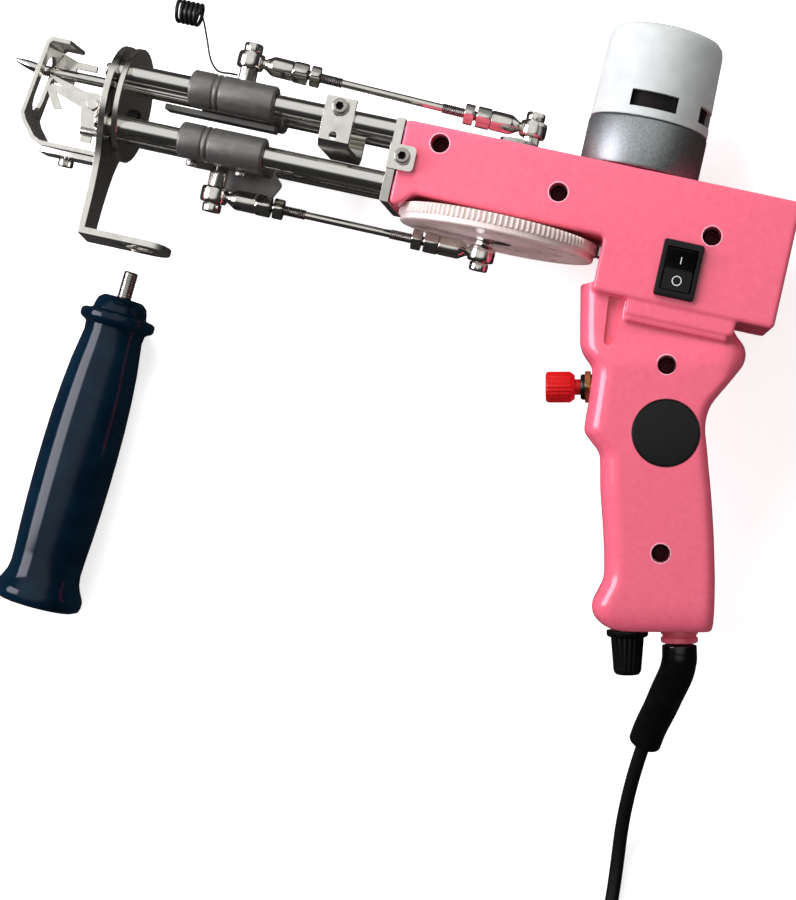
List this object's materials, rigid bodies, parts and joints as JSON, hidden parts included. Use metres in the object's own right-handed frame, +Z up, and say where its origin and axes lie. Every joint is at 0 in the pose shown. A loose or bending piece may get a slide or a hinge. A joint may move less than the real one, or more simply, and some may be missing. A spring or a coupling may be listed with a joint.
{
  "type": "handheld tufting machine",
  "caption": "Pistol-grip tufting machine with a needle and scissors on guide rods, crank drive from a toothed gear, motor on top, side handle laid beside it.",
  "frame": {"origin": "bottom centre of the machine lying on its side with its loose side handle, without its cord's coil and plug", "axes": "+X from the needle to the rear of the housing, +Y to the motor, +Z up from the surface it lies on"},
  "size_m": [0.3098, 0.431, 0.0771],
  "materials": {
    "pink_plastic": "glossy moulded plastic",
    "pale_plastic": "satin moulded plastic",
    "white_plastic": "translucent satin plastic",
    "black_plastic": "satin black plastic",
    "black_gloss": "glossy black plastic",
    "red_plastic": "glossy red plastic",
    "handle_plastic": "glossy dark blue plastic",
    "black_rubber": "smooth black rubber",
    "bright_steel": "bright zinc or chrome plate",
    "ground_steel": "ground steel",
    "grey_metal": "dark grey satin metal",
    "galvanised": "mottled galvanised steel",
    "brass": "dull brass"
  },
  "bodies": {
    "machine": {"housing_near": "pink_plastic", "housing_far": "pink_plastic", "shell_screw_front": "grey_metal", "shell_screw_middle": "grey_metal", "shell_screw_rear": "grey_metal", "shell_screw_grip": "grey_metal", "shell_screw_butt": "grey_metal", "front_plate": "bright_steel", "front_plate_screw": "grey_metal", "guide_rod_upper_near": "bright_steel", "guide_rod_upper_far": "bright_steel", "guide_rod_lower_near": "bright_steel", "guide_rod_lower_far": "bright_steel", "nose_rear_disc": "bright_steel", "nose_bumper": "black_rubber", "nose_arm_plate": "bright_steel", "presser_foot": "bright_steel", "foot_screw": "bright_steel", "rod_bracket": "bright_steel", "rod_bracket_screw": "grey_metal", "motor_can": "galvanised", "motor_cap": "white_plastic", "bearing_upper": "ground_steel", "bearing_lower": "ground_steel", "fixed_blade": "ground_steel", "switch_housing": "black_plastic", "button_bush": "black_plastic", "button_nut": "brass", "speed_control": "ground_steel", "badge_disc": "black_gloss", "cord_collar": "pink_plastic", "cord_sleeve": "black_rubber", "cord": "black_rubber", "cord_coil": "black_rubber", "power_plug": "black_plastic"},
    "gear": {"drive_gear": "pale_plastic", "crank_shaft": "ground_steel"},
    "pinion": {"motor_pinion": "ground_steel"},
    "needle_carriage": {"needle_slider": "grey_metal", "needle_bar": "grey_metal", "needle": "ground_steel", "needle_front_pin": "bright_steel", "yarn_guide": "black_plastic"},
    "needle_rod": {"needle_rod_front_end": "bright_steel", "needle_link_rod": "bright_steel", "needle_rod_rear_end": "bright_steel", "needle_rear_pin": "bright_steel"},
    "cutter_carriage": {"cutter_slider": "grey_metal", "cutter_push_rod": "ground_steel", "cutter_front_pin": "bright_steel"},
    "cutter_rod": {"cutter_rod_front_end": "bright_steel", "cutter_link_rod": "bright_steel", "cutter_rod_rear_end": "bright_steel", "cutter_rear_pin": "bright_steel"},
    "blade": {"moving_blade": "ground_steel"},
    "rocker": {"switch_rocker": "black_gloss"},
    "button": {"button_cap": "red_plastic"},
    "knob": {"speed_knob": "black_plastic"},
    "side_handle": {"handle_grip": "handle_plastic", "handle_stud": "bright_steel"}
  },
  "joints": [
    {"name": "gear_spin", "type": "hinge", "parent": "machine", "child": "gear", "pos_m": [0.04292, 0.04571, 0.03855], "axis": [0, 1, 0], "range_deg": [-30, 60]},
    {"name": "pinion_spin", "type": "hinge", "parent": "machine", "child": "pinion", "pos_m": [0.09012, 0.04571, 0.03855], "axis": [0, 1, 0], "range_deg": [-260, 130]},
    {"name": "needle_slide", "type": "slide", "parent": "machine", "child": "needle_carriage", "axis": [1, 0, 0], "range_m": [-0.0125, 0.0065]},
    {"name": "needle_rod_swing", "type": "hinge", "parent": "needle_carriage", "child": "needle_rod", "pos_m": [-0.06448, 0.09091, 0.03855], "axis": [0, 1, 0], "range_deg": [-2, 1]},
    {"name": "cutter_slide", "type": "slide", "parent": "machine", "child": "cutter_carriage", "axis": [1, 0, 0], "range_m": [-0.006, 0.003]},
    {"name": "cutter_rod_swing", "type": "hinge", "parent": "cutter_carriage", "child": "cutter_rod", "pos_m": [-0.06728, 0.03761, 0.03855], "axis": [0, 1, 0], "range_deg": [-4, 2]},
    {"name": "blade_swing", "type": "hinge", "parent": "machine", "child": "blade", "pos_m": [-0.12008, 0.06151, 0.04285], "axis": [0, 0, 1], "range_deg": [-28, 14]},
    {"name": "rocker_tilt", "type": "hinge", "parent": "machine", "child": "rocker", "pos_m": [0.11282, 0.04431, 0.06125], "axis": [1, 0, 0], "range_deg": [-14, 0]},
    {"name": "button_press", "type": "slide", "parent": "machine", "child": "button", "axis": [0.9759, 0.2181, 0], "range_m": [0, 0.002], "stiffness_N_per_m": 400, "springref_m": -0.0002},
    {"name": "knob_turn", "type": "hinge", "parent": "machine", "child": "knob", "pos_m": [0.12508, -0.09598, 0.03855], "axis": [0.2181, -0.9759, 0], "range_deg": [0, 280]},
    {"name": "handle_lift", "type": "slide", "parent": "machine", "child": "side_handle", "axis": [0, 0, 1], "range_m": [0, 0.12]}
  ],
  "couplings": [
    {"joint": "pinion_spin", "follows": "gear_spin", "ratio": -4.1786},
    {"joint": "needle_slide", "follows": "gear_spin", "m_per_rad": -0.0112},
    {"joint": "needle_rod_swing", "follows": "gear_spin", "ratio": -0.02},
    {"joint": "cutter_slide", "follows": "gear_spin", "m_per_rad": -0.005},
    {"joint": "cutter_rod_swing", "follows": "gear_spin", "ratio": -0.055},
    {"joint": "blade_swing", "follows": "gear_spin", "ratio": -0.4545}
  ]
}
